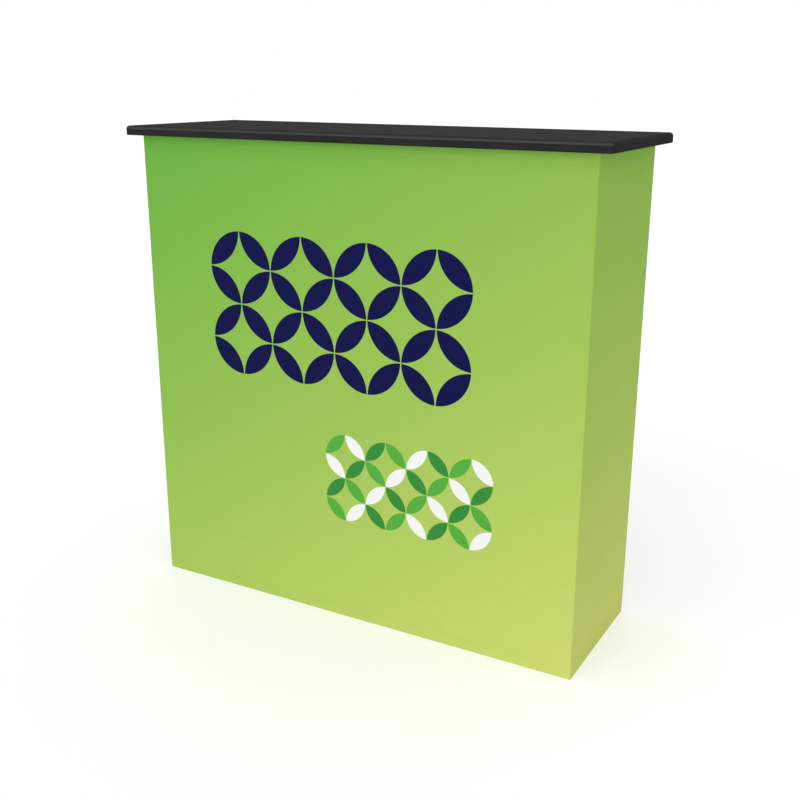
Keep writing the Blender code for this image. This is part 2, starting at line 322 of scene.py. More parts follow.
def copied(piece, name, *turns):
    """Another of the same piece with a mesh of its own, turned or moved."""
    twin = piece.copy()
    twin.data = piece.data.copy()
    twin.name = name
    bpy.context.scene.collection.objects.link(twin)
    return laid(twin, *turns)


def joined(name, parts):
    """Several parts made into one piece."""
    only(parts[0])
    for part in parts:
        part.select_set(True)
    bpy.ops.object.join()
    parts[0].name = name
    return parts[0]


def eased(piece, width, steps=2):
    """Takes the sharp edges off a part."""
    only(piece)
    edge = piece.modifiers.new("eased", "BEVEL")
    edge.width = width
    edge.segments = steps
    edge.limit_method = "ANGLE"
    edge.angle_limit = math.radians(smooth_angle)
    bpy.ops.object.modifier_apply(modifier=edge.name)
    return piece


def shaded(piece):
    """Shades a finished piece smooth between the edges that stay sharp."""
    only(piece)
    bpy.ops.object.shade_smooth_by_angle(angle=math.radians(smooth_angle))
    even = piece.modifiers.new("even", "WEIGHTED_NORMAL")
    even.keep_sharp = True
    bpy.ops.object.modifier_apply(modifier=even.name)
    return piece


def round_off(piece, radius, steps, wanted):
    """Rounds the picked edges of a part with a radius, and merges what meets."""
    pick(piece, "EDGE", wanted)
    bpy.ops.mesh.bevel(offset=radius, segments=steps, affect="EDGES")
    bpy.ops.mesh.select_all(action="SELECT")
    bpy.ops.mesh.remove_doubles(threshold=0.00005)
    leave_editing()
    return piece


black_nylon = moulded_finish(
    "black_nylon", painted(40, 40, 42), painted(56, 56, 59), 0.42, 2600, 0.5,
)

hook_tape, hooks = new_finish("hook_tape")
hook_where = put(hook_tape, "ShaderNodeTexCoord", {}).outputs["Object"]
hook_rows = put(hook_tape, "ShaderNodeTexVoronoi", {
    "Vector": hook_where, "Scale": 1100, "Randomness": 0.35,
})
hook_tone = put(hook_tape, "ShaderNodeMapRange", {
    "Value": hook_rows.outputs["Distance"], "From Max": 0.7, "To Min": 0.045, "To Max": 0.008,
})
hook_bump = put(hook_tape, "ShaderNodeBump", {
    "Height": hook_rows.outputs["Distance"], "Strength": 0.9, "Distance": 0.0004,
})
hook_tape.node_tree.links.new(hook_tone.outputs["Result"], hooks.inputs["Base Color"])
hook_tape.node_tree.links.new(hook_bump.outputs["Normal"], hooks.inputs["Normal"])
hooks.inputs["Roughness"].default_value = 0.85

pin_steel, steel = new_finish("pin_steel")
steel_where = put(pin_steel, "ShaderNodeTexCoord", {}).outputs["Object"]
steel_marks = put(pin_steel, "ShaderNodeTexNoise", {
    "Vector": steel_where, "Scale": 900, "Detail": 3,
})
steel_tone = ramped(
    pin_steel, steel_marks.outputs["Fac"],
    (0, (0.36, 0.36, 0.37, 1)), (1, (0.62, 0.62, 0.64, 1)),
)
steel_dull = put(pin_steel, "ShaderNodeMapRange", {
    "Value": steel_marks.outputs["Fac"], "To Min": 0.22, "To Max": 0.42,
})
pin_steel.node_tree.links.new(steel_tone, steel.inputs["Base Color"])
pin_steel.node_tree.links.new(steel_dull.outputs["Result"], steel.inputs["Roughness"])
steel.inputs["Metallic"].default_value = 1

plate = block(
    "plate",
    (-plate_half_width, plate_outside, -plate_half_height),
    (plate_half_width, plate_inside, plate_half_height),
    black_nylon,
)
round_off(plate, plate_corner, 6, lambda middle, way: abs(way.y) > straight)
pick(plate, "FACE", lambda middle, way: way.y < -straight)
bpy.ops.mesh.inset(thickness=pad_margin)
push(0, pad_recess, 0)
bpy.ops.mesh.inset(thickness=pad_gap)
push(0, -pad_rise, 0)
cover_picked(plate, hook_tape)
leave_editing()
eased(plate, fine_edge)

ear = block(
    "ear",
    (pin_offset - ear_half_width, plate_inside - sunk_in, ear_inner),
    (pin_offset + ear_half_width, ear_half_width, ear_outer),
    black_nylon,
)
round_off(
    ear, ear_half_width * nearly_round, 10,
    lambda middle, way: abs(way.z) > straight and middle.y > 0,
)
eased(ear, fine_edge)
root = block(
    "root",
    (pin_offset - ear_half_width - root_spread, plate_inside - sunk_in, ear_outer - sunk_in),
    (pin_offset + ear_half_width + 0.0008, plate_inside + root_height, ear_outer + root_spread),
    black_nylon,
)
round_off(
    root, root_spread, 3,
    lambda middle, way: abs(way.x) > straight and middle.y > plate_inside and middle.z > ear_outer,
)
collar = turned("collar", [(0.0046, 0), (0.0046, 0.0003), (0.0043, 0.0005)], 24, black_nylon)
laid(collar, Matrix.Translation((pin_offset, 0, ear_outer - 0.0001)))
head = [
    (0.0037, ear_outer + 0.0001), (0.0037, ear_outer + 0.0006),
    (0.0031, ear_outer + 0.0010), (0.0014, ear_outer + 0.0012),
]
pin = turned("pin", [
    *[(radius, -height) for radius, height in reversed(head)],
    (pin_radius, -ear_outer), (pin_radius, ear_outer), *head,
], 20, pin_steel)
laid(pin, Matrix.Translation((pin_offset, 0, 0)))

half_clevis = joined("half_clevis", [ear, root, collar])
other_half = copied(half_clevis, "other_half", Matrix.Scale(-1, 4, (0, 0, 1)))
clevis = joined("clevis", [half_clevis, other_half, pin])
pick(clevis, "FACE", lambda middle, way: True)
bpy.ops.mesh.normals_make_consistent(inside=False)
leave_editing()

quarter = Matrix.Rotation(-math.pi / 2, 4, "Y")
outwards = [
    laid(clevis, Matrix.Translation((0, 0, bar_level))),
    copied(
        clevis, "clevis_up",
        Matrix.Translation((0, 0, -bar_level)), quarter, Matrix.Translation((bar_level, 0, 0)),
    ),
]
outwards += [
    copied(outwards[0], "clevis_left", Matrix.Rotation(math.pi, 4, "Y")),
    copied(outwards[1], "clevis_down", Matrix.Rotation(math.pi, 4, "Y")),
]

upright_to_depth = Matrix.Rotation(-math.pi / 2, 4, "X")
boss = turned("boss", [
    (0.0096, plate_inside - sunk_in), (0.0096, plate_inside), (0.0087, plate_inside + 0.0004),
    (boss_radius, plate_inside + 0.0014), (boss_radius, -0.0005), (boss_radius - 0.0005, 0),
    (spigot_radius + 0.0006, 0), (spigot_radius, 0.0007), (spigot_radius, spigot_end - 0.0030),
    (spigot_radius - 0.0004, spigot_end - 0.0028), (spigot_radius - 0.0004, spigot_end - 0.0021),
    (spigot_radius, spigot_end - 0.0019), (spigot_radius, spigot_end - 0.0010),
    (spigot_radius - 0.0009, spigot_end),
], 32, black_nylon)
laid(boss, upright_to_depth)

webs = []
for count in range(4):
    web = block(
        "web",
        (web_start, plate_inside - sunk_in, -web_half_width),
        (web_end, plate_inside + web_height, web_half_width),
        black_nylon,
    )
    round_off(
        web, 0.0018, 2,
        lambda middle, way: middle.x > web_end - 0.0005 and abs(way.z) > straight
        and middle.y > plate_inside,
    )
    eased(web, fine_edge)
    webs.append(laid(web, Matrix.Rotation(math.radians(45 + 90 * count), 4, "Y")))

hub_model = shaded(joined("hub_model", [plate, *outwards, boss, *webs]))

column_names = ("left", "centre", "right")
row_names = ("bottom", "middle", "top")
hub_places = {}
for side in ("front", "back"):
    for column_count, column in enumerate(column_names):
        for row_count, row in enumerate(row_names):
            node = f"hub_{side}_{column}_{row}"
            low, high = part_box(node)
            middle = (low + high) / 2
            depth = low.y - plate_outside if side == "front" else high.y + plate_outside
            place = Vector((middle.x, depth, middle.z))
            hub_places[side, column_count, row_count] = place
            facing = Matrix.Rotation(0 if side == "front" else math.pi, 4, "Z")
            moulding = copied(hub_model, f"moulded_{node}", facing, Matrix.Translation(place))
            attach(moulding, node)
            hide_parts(node)
bpy.data.objects.remove(hub_model)


# Feet
# A black rubber foot is pushed onto the lower edge of each bottom hub and hooks behind its
# plate with two lips. Its underside is ribbed so that it grips the floor.

foot_low = -0.0303
foot_top = -0.0253
foot_half_length = 0.01895
foot_front = -0.010
foot_back = 0.008
foot_corner = 0.004
lip_start = 0.01295
lip_top = -0.0193
lip_face = -0.0057
lip_thickness = 0.0048
lip_slope = 0.0023
sole_rim = 0.0016
sole_recess = 0.0009
rib_count = 7
rib_pitch = 0.0044
rib_half_width = 0.0008
rib_height = 0.0012
rib_inset = 0.0012

foot_rubber = moulded_finish(
    "foot_rubber", painted(30, 30, 31), painted(48, 47, 46), 0.78, 1500, 0.6,
)

pad = block(
    "pad",
    (-foot_half_length, foot_front, foot_low),
    (foot_half_length, foot_back, foot_top),
    foot_rubber,
)
round_off(pad, foot_corner, 5, lambda middle, way: abs(way.z) > straight)
pick(pad, "FACE", lambda middle, way: way.z < -straight)
bpy.ops.mesh.inset(thickness=sole_rim)
push(0, 0, sole_recess)
leave_editing()
foot_parts = [eased(pad, 0.0004)]
for count in range(rib_count):
    rib_middle = (count - rib_count // 2) * rib_pitch
    rib = block(
        "rib",
        (rib_middle - rib_half_width, foot_front + rib_inset, foot_low),
        (rib_middle + rib_half_width, foot_back - rib_inset, foot_low + rib_height),
        foot_rubber,
    )
    foot_parts.append(round_off(
        rib, 0.0005, 2,
        lambda middle, way: abs(way.y) > straight and middle.z < foot_low + hair,
    ))
for hand in (1, -1):
    lip = block(
        "lip",
        (min(hand * lip_start, hand * foot_half_length), lip_face, foot_top - sunk_in),
        (max(hand * lip_start, hand * foot_half_length), lip_face + lip_thickness, lip_top),
        foot_rubber,
    )
    pick(lip, "EDGE", lambda middle, way: abs(way.x) > straight and middle.z > foot_top
         and middle.y > lip_face + lip_thickness / 2)
    bpy.ops.transform.translate(value=(0, -lip_slope, 0))
    leave_editing()
    foot_parts.append(eased(lip, fine_edge))
foot_model = shaded(joined("foot_model", foot_parts))

for side in ("front", "back"):
    for column_count, column in enumerate(column_names):
        facing = Matrix.Rotation(0 if side == "front" else math.pi, 4, "Z")
        standing = Matrix.Translation(hub_places[side, column_count, 0])
        foot = copied(foot_model, f"rubber_foot_{side}_{column}", facing, standing)
        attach(foot, f"hub_{side}_{column}_bottom")
        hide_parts(f"foot_{side}_{column}")
bpy.data.objects.remove(foot_model)


# Scissor bars
# Twelve crossing pairs of flat oval aluminium tube, cut to length and clear anodised. A nylon
# tongue is pressed into each end and crimped there, and turns on its hub's pin. One steel
# rivet through both tubes, with a thin washer between them, is the pivot of a pair.

tube_half_width = 0.007
tube_half_thickness = 0.004
tube_wall = 0.0009
tube_corner = 0.0033
tube_hollow = 0.0010
tongue_half_width = 0.005
tongue_half_thickness = 0.003
tongue_reach = 0.014
bore_radius = 0.0028
pin_run = hub_places["front", 1, 0].x - hub_places["front", 0, 0].x - 2 * pin_offset
pin_depth = hub_places["back", 0, 0].y - hub_places["front", 0, 0].y
bar_half_length = math.hypot(pin_run, pin_depth) / 2
bar_slope = math.atan2(pin_depth, pin_run)
tube_end = bar_half_length - tongue_reach
crimp_place = tube_end - 0.008


def apart(finish, x, y):
    """How far a point is from the middle of a pattern."""
    y_squared = maths(finish, "MULTIPLY", y, y)
    return maths(finish, "SQRT", maths(finish, "MULTIPLY_ADD", x, x, y_squared))


bar_aluminium, alloy = new_finish("bar_aluminium")
bar_uv = put(bar_aluminium, "ShaderNodeUVMap", {}, uv_map="grain").outputs[0]
drawn = put(bar_aluminium, "ShaderNodeMapping", {"Vector": bar_uv, "Scale": (14, 2600, 1)})
streaks = put(bar_aluminium, "ShaderNodeTexNoise", {
    "Vector": drawn.outputs[0], "Scale": 1, "Detail": 5, "Roughness": 0.65,
})
clouds = put(bar_aluminium, "ShaderNodeTexNoise", {"Vector": bar_uv, "Scale": 60, "Detail": 3})
clouded = maths(bar_aluminium, "MULTIPLY", clouds.outputs["Fac"], 0.3)
tone = ramped(
    bar_aluminium, maths(bar_aluminium, "MULTIPLY_ADD", streaks.outputs["Fac"], 0.7, clouded),
    (0.3, (0.52, 0.53, 0.55, 1)), (0.7, (0.71, 0.72, 0.74, 1)),
)
satin = put(bar_aluminium, "ShaderNodeMapRange", {
    "Value": streaks.outputs["Fac"], "To Min": 0.26, "To Max": 0.46,
})
along, across = put(bar_aluminium, "ShaderNodeSeparateXYZ", {"Vector": bar_uv}).outputs[:2]
past_crimp = maths(bar_aluminium, "SUBTRACT", maths(bar_aluminium, "ABSOLUTE", along), crimp_place)
from_crimp = apart(bar_aluminium, past_crimp, across)
dimple = put(bar_aluminium, "ShaderNodeMapRange", {
    "Value": from_crimp, "From Min": 0.0007, "From Max": 0.0021, "To Min": 0, "To Max": 1,
}, interpolation_type="SMOOTHSTEP").outputs["Result"]
relief = maths(bar_aluminium, "MULTIPLY_ADD", streaks.outputs["Fac"], 0.012, dimple)
bar_bump = put(bar_aluminium, "ShaderNodeBump", {
    "Height": relief, "Strength": 1, "Distance": 0.0007,
})
bar_aluminium.node_tree.links.new(tone, alloy.inputs["Base Color"])
bar_aluminium.node_tree.links.new(satin.outputs["Result"], alloy.inputs["Roughness"])
bar_aluminium.node_tree.links.new(bar_bump.outputs["Normal"], alloy.inputs["Normal"])
alloy.inputs["Metallic"].default_value = 1

tube = block(
    "tube",
    (-tube_end, -tube_half_width, -tube_half_thickness),
    (tube_end, tube_half_width, tube_half_thickness),
    bar_aluminium,
)
round_off(tube, tube_corner, 6, lambda middle, way: abs(way.x) > straight)
pick(tube, "FACE", lambda middle, way: abs(way.x) > straight)
bpy.ops.mesh.inset(thickness=tube_wall)
bpy.ops.mesh.extrude_region_shrink_fatten(TRANSFORM_OT_shrink_fatten={"value": -tube_hollow})
cover_picked(tube, black_nylon)
leave_editing()

tongue = block(
    "tongue",
    (tube_end - 0.003, -tongue_half_width, -tongue_half_thickness),
    (bar_half_length + tongue_half_width, tongue_half_width, tongue_half_thickness),
    black_nylon,
)
round_off(
    tongue, tongue_half_width * nearly_round, 9,
    lambda middle, way: abs(way.z) > straight and middle.x > bar_half_length,
)
eased(tongue, fine_edge)


def bored(piece, place):
    """Drills a piece through along Z for a pin or rivet."""
    bpy.ops.object.select_all(action="DESELECT")
    bpy.ops.mesh.primitive_cylinder_add(
        vertices=24, radius=bore_radius, depth=0.03, location=place,
    )
    drill = bpy.context.object
    only(piece)
    hole = piece.modifiers.new("hole", "BOOLEAN")
    hole.operation = "DIFFERENCE"
    hole.solver = "EXACT"
    hole.object = drill
    bpy.ops.object.modifier_apply(modifier=hole.name)
    bpy.data.objects.remove(drill)


bored(tongue, (bar_half_length, 0, 0))
eased(tube, fine_edge / 2, 1)
plain_tube = copied(tube, "plain_tube")
bored(tube, (0, 0, 0))
other_end = Matrix.Rotation(math.pi, 4, "Z")
bar_models = {
    "a": joined("bar_model_a", [
        tube, copied(tongue, "tongue_right"), copied(tongue, "tongue_left", other_end),
    ]),
    "b": joined("bar_model_b", [plain_tube, tongue, copied(tongue, "tongue_left", other_end)]),
}

rivet_top = bar_level + tube_half_thickness
rivet = turned("rivet", [
    (0.0026, -rivet_top - 0.0009), (0.0038, -rivet_top - 0.0006), (0.0041, -rivet_top - 0.0002),
    (0.0041, -rivet_top + 0.0001), (pin_radius, -rivet_top + 0.0002),
    (pin_radius, rivet_top + 0.0001),
    (0.0046, rivet_top + 0.0001), (0.0046, rivet_top + 0.0005), (0.0043, rivet_top + 0.0010),
    (0.0035, rivet_top + 0.0014), (0.0022, rivet_top + 0.0016), (0.0008, rivet_top + 0.0017),
], 28, pin_steel)
washer = turned("washer", [(0.0060, -0.00014), (0.0060, 0.00010)], 32, black_nylon)
laid(bar_models["a"], Matrix.Translation((0, 0, bar_level)))
laid(bar_models["b"], Matrix.Translation((0, 0, -bar_level)))
bar_models["b"] = joined("bar_model_b", [bar_models["b"], rivet, washer])

for hand, model in bar_models.items():
    shaded(model)
    grain = model.data.uv_layers.get("UVMap") or model.data.uv_layers.new(name="grain")
    grain.name = "grain"
    middle_level = bar_level if hand == "a" else -bar_level
    for face in model.data.polygons:
        flat = abs(face.normal.z) > 0.7
        for corner in face.loop_indices:
            point = model.data.vertices[model.data.loops[corner].vertex_index].co
            on_edge = point.z - middle_level + math.copysign(0.02, face.normal.y)
            around = point.y if flat else on_edge
            grain.data[corner].uv = (point.x, around)


def fit_bar(name, hand, start, end, turn):
    """Puts a bar between its two pins."""
    place = Matrix.Translation((start + end) / 2)
    bar = copied(bar_models[hand], f"tube_{name}", turn, place)
    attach(bar, name)
    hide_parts(name)


along_x = Vector((pin_offset, 0, 0))
along_z = Vector((0, 0, pin_offset))
stood_up = Matrix(((0, 0, 1, 0), (0, -1, 0, 0), (1, 0, 0, 0), (0, 0, 0, 1)))
for row_count, row in enumerate(row_names):
    for column_count in (0, 1):
        for hand, near, far, slope in (
            ("a", "front", "back", bar_slope), ("b", "back", "front", -bar_slope),
        ):
            fit_bar(
                f"level_bar_{row}_{('left', 'right')[column_count]}_{hand}", hand,
                hub_places[near, column_count, row_count] + along_x,
                hub_places[far, column_count + 1, row_count] - along_x,
                Matrix.Rotation(slope, 4, "Z"),
            )
for column_count, column in enumerate(column_names):
    for storey_count, storey in enumerate(("lower", "upper")):
        for hand, near, far, slope in (
            ("a", "front", "back", -bar_slope), ("b", "back", "front", bar_slope),
        ):
            fit_bar(
                f"upright_bar_{column}_{storey}_{hand}", hand,
                hub_places[near, column_count, storey_count] + along_z,
                hub_places[far, column_count, storey_count + 1] - along_z,
                Matrix.Rotation(slope, 4, "X") @ stood_up,
            )
for model in bar_models.values():
    bpy.data.objects.remove(model)


# Locking struts
# Four struts hold the opened frame from front to back. Each is two dark grey nylon halves
# pushed over the hubs' spigots: a socket in front and a plug behind, with grip rings where
# they snap together.

strut_start = 0.0003
strut_end = 0.14055
strut_radius = 0.005
strut_collar = 0.0075
strut_bore = 0.0033
plug_end = strut_end + 0.010

strut_nylon = moulded_finish(
    "strut_nylon", painted(62, 62, 65), painted(80, 80, 83), 0.42, 2200, 0.4,
)

shank = [
    (0.0054, strut_start), (0.0060, strut_start + 0.0006), (0.0060, strut_start + 0.0040),
    (strut_radius, strut_start + 0.0052), (strut_radius, strut_end - 0.0180),
    (strut_collar - 0.0006, strut_end - 0.0164), (strut_collar, strut_end - 0.0158),
]
for ring in range(4):
    groove = strut_end - 0.0138 + ring * 0.0030
    shank += [
        (strut_collar, groove), (strut_collar - 0.0007, groove + 0.0003),
        (strut_collar - 0.0007, groove + 0.0010), (strut_collar, groove + 0.0013),
    ]
shank += [(strut_collar, strut_end - 0.0006), (strut_collar - 0.0006, strut_end)]
socket = turned("socket", shank + [
    (strut_bore + 0.0006, strut_end), (strut_bore, strut_end - 0.0006),
    (strut_bore, strut_end - 0.0180),
], 28, strut_nylon)
plug = turned("plug", shank + [
    (spigot_radius, strut_end), (spigot_radius, plug_end - 0.0050),
    (spigot_radius + 0.00015, plug_end - 0.0040), (spigot_radius, plug_end - 0.0030),
    (spigot_radius, plug_end - 0.0015), (spigot_radius - 0.0014, plug_end),
], 28, strut_nylon)
for half in (socket, plug):
    laid(shaded(half), upright_to_depth)

for side, half in (("front", socket), ("back", plug)):
    for column_count, column in ((0, "left"), (2, "right")):
        for row_count, row in ((0, "bottom"), (2, "top")):
            facing = Matrix.Rotation(0 if side == "front" else math.pi, 4, "Z")
            place = Matrix.Translation(hub_places[side, column_count, row_count])
            strut = copied(half, f"nylon_strut_{side}_{column}_{row}", facing, place)
            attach(strut, f"hub_{side}_{column}_{row}")
            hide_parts(f"strut_{side}_{column}_{row}")
    bpy.data.objects.remove(half)


# Cover
# One band of knitted polyester, dye printed on its outer side and white inside, is stretched
# round the front and both ends and turned in behind the back hubs. Its edges are hemmed with
# two rows of stitches and taped with loop tape inside, which presses onto the hubs' hook pads.

cover_front_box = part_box("cover_front")
cover_end_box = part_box("cover_end_right")
cover_half_width = cover_front_box[1].x
cover_face = cover_front_box[0].y
cover_back = cover_end_box[1].y
cover_height = cover_front_box[1].z
cover_depth = cover_back - cover_face
cover_turn_in = cover_half_width - cover_end_box[0].x
cover_reach = cover_half_width + cover_depth + cover_turn_in
cover_corner = 0.0022
cover_near = 0.003
cloth_thickness = 0.0009
cloth_sink = 0.0003
cloth_sink_run = 0.09
cloth_smooth_angle = 35
hem_width = 0.030
hem_thickness = 0.00022
tape_inset = 0.003
tape_thickness = 0.00022
stitch_rows = (0.0268, 0.0222)
stitch_length = 0.0030
stitch_share = 0.75
stitch_half_width = 0.00035
front_strips = 36
end_strips = 11
turn_in_strips = 2
patch_half_width = 0.022
patch_half_height = 0.020

navy = painted(24, 26, 77)
bright_green = painted(90, 178, 68)
deep_green = painted(60, 145, 65)
bright_white = painted(250, 250, 250)
undyed_white = (0.78, 0.79, 0.77, 1)
print_through = 0.14
# The print's ground, green to yellow-green. Its last two stops, towards the bottom and the right,
# are painted a little lighter to make up for the shade near the floor: painted light.
ground_colours_and_painted_light = (
    painted(111, 182, 71), painted(136, 190, 79), painted(160, 199, 90),
    painted(186, 211, 104), painted(212, 224, 120),
)
fade_across = 0.367
fade_down = 0.633
large_rings = (-0.330, 0.500, 0.075, 8, 4)
small_rings = (-0.055, 0.220, 0.047, 8, 4)


def mixed(finish, share, first, second):
    """The first colour, going over to the second by a share."""
    made = put(finish, "ShaderNodeMix", {0: share, 6: first, 7: second}, data_type="RGBA")
    return made.outputs[2]


def ring_pattern(finish, across, up, left, low, pitch, columns, rows):
    """Rings that overlap in square tiles: where they are inked, and each tile's column and row."""
    along = maths(finish, "DIVIDE", maths(finish, "SUBTRACT", across, left), pitch)
    above = maths(finish, "DIVIDE", maths(finish, "SUBTRACT", up, low), pitch)
    column, row = maths(finish, "FLOOR", along), maths(finish, "FLOOR", above)
    x, y = maths(finish, "FRACT", along), maths(finish, "FRACT", above)
    odd = maths(finish, "FLOORED_MODULO", maths(finish, "ADD", column, row), 2)
    flipped = maths(finish, "LESS_THAN", odd, 0.5)
    to_flip = maths(finish, "MULTIPLY_ADD", x, -2, 1)
    x = maths(finish, "ADD", x, maths(finish, "MULTIPLY", flipped, to_flip))
    one_way = apart(finish, maths(finish, "SUBTRACT", x, 1), y)
    other_way = apart(finish, x, maths(finish, "SUBTRACT", y, 1))
    inked = put(finish, "ShaderNodeMapRange", {
        "Value": maths(finish, "MAXIMUM", one_way, other_way), "From Min": 0.990, "From Max": 0.980,
    }).outputs["Result"]
    for place, count in ((along, columns), (above, rows)):
        from_middle = maths(finish, "ABSOLUTE", maths(finish, "SUBTRACT", place, count / 2))
        inked = maths(finish, "MULTIPLY", inked, maths(finish, "LESS_THAN", from_middle, count / 2))
    return inked, column, row


def printed_colour(finish, across, up):
    """The print: green ground going over to yellow-green, with two fields of overlapping rings."""
    rightwards = put(finish, "ShaderNodeMapRange", {
        "Value": across, "From Min": -cover_half_width, "From Max": cover_half_width,
    }).outputs["Result"]
    downwards = put(finish, "ShaderNodeMapRange", {
        "Value": up, "From Min": cover_height, "From Max": 0,
    }).outputs["Result"]
    faded_down = maths(finish, "MULTIPLY", downwards, fade_down)
    fade = maths(finish, "MULTIPLY_ADD", rightwards, fade_across, faded_down)
    last = len(ground_colours_and_painted_light) - 1
    ground = ramped(finish, fade, *[
        (count / last, colour) for count, colour in enumerate(ground_colours_and_painted_light)
    ])
    large = ring_pattern(finish, across, up, *large_rings)[0]
    colour = mixed(finish, large, ground, navy)
    small, column, row = ring_pattern(finish, across, up, *small_rings)
    turn = maths(finish, "FLOORED_MODULO", maths(finish, "MULTIPLY_ADD", row, 2, column), 3)
    inks = ramped(
        finish, maths(finish, "DIVIDE", turn, 2),
        (0, bright_green), (0.25, bright_white), (0.75, deep_green),
    )
    inks.node.color_ramp.interpolation = "CONSTANT"
    return mixed(finish, small, colour, inks)


def knit_height(finish, across, up):
    """Rows of knitted loops, about a millimetre across, with a little unevenness in the yarn."""
    wale = maths(finish, "SINE", maths(finish, "MULTIPLY", across, math.tau / 0.0012))
    shift = maths(finish, "MULTIPLY", wale, 1.3)
    course = maths(finish, "SINE", maths(finish, "MULTIPLY_ADD", up, math.tau / 0.0010, shift))
    where = put(finish, "ShaderNodeUVMap", {}, uv_map="print").outputs[0]
    noise = put(finish, "ShaderNodeTexNoise", {"Vector": where, "Scale": 1800, "Detail": 2})
    yarn = noise.outputs["Fac"]
    across_loops = maths(finish, "MULTIPLY", wale, 0.3)
    loops = maths(finish, "ADD", across_loops, maths(finish, "MULTIPLY", course, 0.3))
    return maths(finish, "ADD", loops, maths(finish, "MULTIPLY", yarn, 0.6))


def stitch_mask(finish, across, up):
    """1 on the stitches of the hems' two rows, along the top, the bottom and both back edges."""
    from_hem = maths(finish, "MINIMUM", up, maths(finish, "SUBTRACT", cover_height, up))
    from_side = maths(finish, "SUBTRACT", cover_reach, maths(finish, "ABSOLUTE", across))
    found = 0
    for from_edge, way in ((from_hem, across), (from_side, up)):
        run = maths(finish, "FRACT", maths(finish, "DIVIDE", way, stitch_length))
        for row in stitch_rows:
            beside = maths(finish, "ABSOLUTE", maths(finish, "SUBTRACT", from_edge, row))
            on_row = maths(finish, "LESS_THAN", beside, stitch_half_width)
            on_thread = maths(finish, "LESS_THAN", run, stitch_share)
            thread = maths(finish, "MULTIPLY", on_row, on_thread)
            found = maths(finish, "MAXIMUM", found, thread)
    return found


def cloth_finish(name, inside):
    """The knitted cloth: its printed side, or the white inside where the print hardly shows."""
    finish, shader = new_finish(name)
    where = put(finish, "ShaderNodeUVMap", {}, uv_map="print").outputs[0]
    across, up = put(finish, "ShaderNodeSeparateXYZ", {"Vector": where}).outputs[:2]
    colour = printed_colour(finish, across, up)
    if inside:
        colour = mixed(finish, print_through, undyed_white, colour)
    clouds = put(finish, "ShaderNodeTexNoise", {"Vector": where, "Scale": 35, "Detail": 5})
    mottle = clouds.outputs["Fac"]
    knit = knit_height(finish, across, up)
    stitches = stitch_mask(finish, across, up)
    knitted = maths(finish, "MULTIPLY_ADD", knit, 0.03, 0.96)
    tone = maths(finish, "MULTIPLY_ADD", mottle, 0.05, knitted)
    tone = maths(finish, "MULTIPLY", tone, maths(finish, "MULTIPLY_ADD", stitches, -0.10, 1))
    dyed = put(finish, "ShaderNodeVectorMath", {0: colour, "Scale": tone}, operation="SCALE")
    height = maths(finish, "MULTIPLY_ADD", stitches, 1.5, knit)
    bump = put(finish, "ShaderNodeBump", {"Height": height, "Strength": 0.30, "Distance": 0.0002})
    dull = put(finish, "ShaderNodeMapRange", {"Value": mottle, "To Min": 0.74, "To Max": 0.86})
    finish.node_tree.links.new(dyed.outputs[0], shader.inputs["Base Color"])
    finish.node_tree.links.new(bump.outputs["Normal"], shader.inputs["Normal"])
    finish.node_tree.links.new(dull.outputs["Result"], shader.inputs["Roughness"])
    shader.inputs["Specular IOR Level"].default_value = 0.02
    shader.inputs["Sheen Weight"].default_value = 0.01
    shader.inputs["Sheen Roughness"].default_value = 0.5
    return finish


printed_side = cloth_finish("printed_polyester", False)
white_side = cloth_finish("polyester_inside", True)

loop_tape, loops = new_finish("loop_tape")
loop_where = put(loop_tape, "ShaderNodeUVMap", {}, uv_map="print").outputs[0]
loop_pile = put(loop_tape, "ShaderNodeTexNoise", {"Vector": loop_where, "Scale": 1400, "Detail": 4})
loop_tone = put(loop_tape, "ShaderNodeMapRange", {
    "Value": loop_pile.outputs["Fac"], "To Min": 0.50, "To Max": 0.74,
})
loop_bump = put(loop_tape, "ShaderNodeBump", {
    "Height": loop_pile.outputs["Fac"], "Strength": 0.8, "Distance": 0.0004,
})
loop_tape.node_tree.links.new(loop_tone.outputs["Result"], loops.inputs["Base Color"])
loop_tape.node_tree.links.new(loop_bump.outputs["Normal"], loops.inputs["Normal"])
loops.inputs["Roughness"].default_value = 0.95
loops.inputs["Sheen Weight"].default_value = 0.3

bpy.ops.object.select_all(action="DESELECT")
bpy.ops.mesh.primitive_grid_add(
    x_subdivisions=front_strips, y_subdivisions=front_strips, size=1,
    location=(0, cover_face, cover_height / 2), rotation=(math.pi / 2, 0, 0),
)
cover = bpy.context.object
cover.scale = (2 * cover_half_width, cover_height, 1)
settled("fabric_cover", printed_side)
for hand in (1, -1):
    pick(cover, "EDGE", lambda middle, way: middle.x * hand > cover_half_width - hair
         and abs(way.z) > straight)
    for strip in range(end_strips):
        push(0, cover_depth / end_strips, 0)
    for strip in range(turn_in_strips):
        push(-hand * cover_turn_in / turn_in_strips, 0, 0)
    leave_editing()
pick(cover, "EDGE", lambda middle, way: abs(way.z) > straight
     and abs(middle.x) > cover_half_width - hair
     and (middle.y < cover_face + hair or middle.y > cover_back - hair))
bpy.ops.mesh.bevel(offset=cover_corner, segments=4, affect="EDGES")
for height in (hem_width, cover_height - hem_width):
    bpy.ops.mesh.select_all(action="SELECT")
    bpy.ops.mesh.bisect(plane_co=(0, 0, height), plane_no=(0, 0, 1))
bpy.ops.mesh.select_all(action="SELECT")
bpy.ops.mesh.normals_make_consistent(inside=False)
leave_editing()


def lay_print(piece):
    """Measures the print on a piece: round the band from the middle of its front, and up."""
    layer = piece.data.uv_layers[0]
    layer.name = "print"
    for corner in piece.data.loops:
        point = piece.data.vertices[corner.vertex_index].co
        reach = abs(point.x) + point.y - cover_face
        if point.y > 0:
            reach = 2 * cover_half_width - abs(point.x) + point.y - cover_face
        layer.data[corner.index].uv = (math.copysign(reach, point.x), point.z)


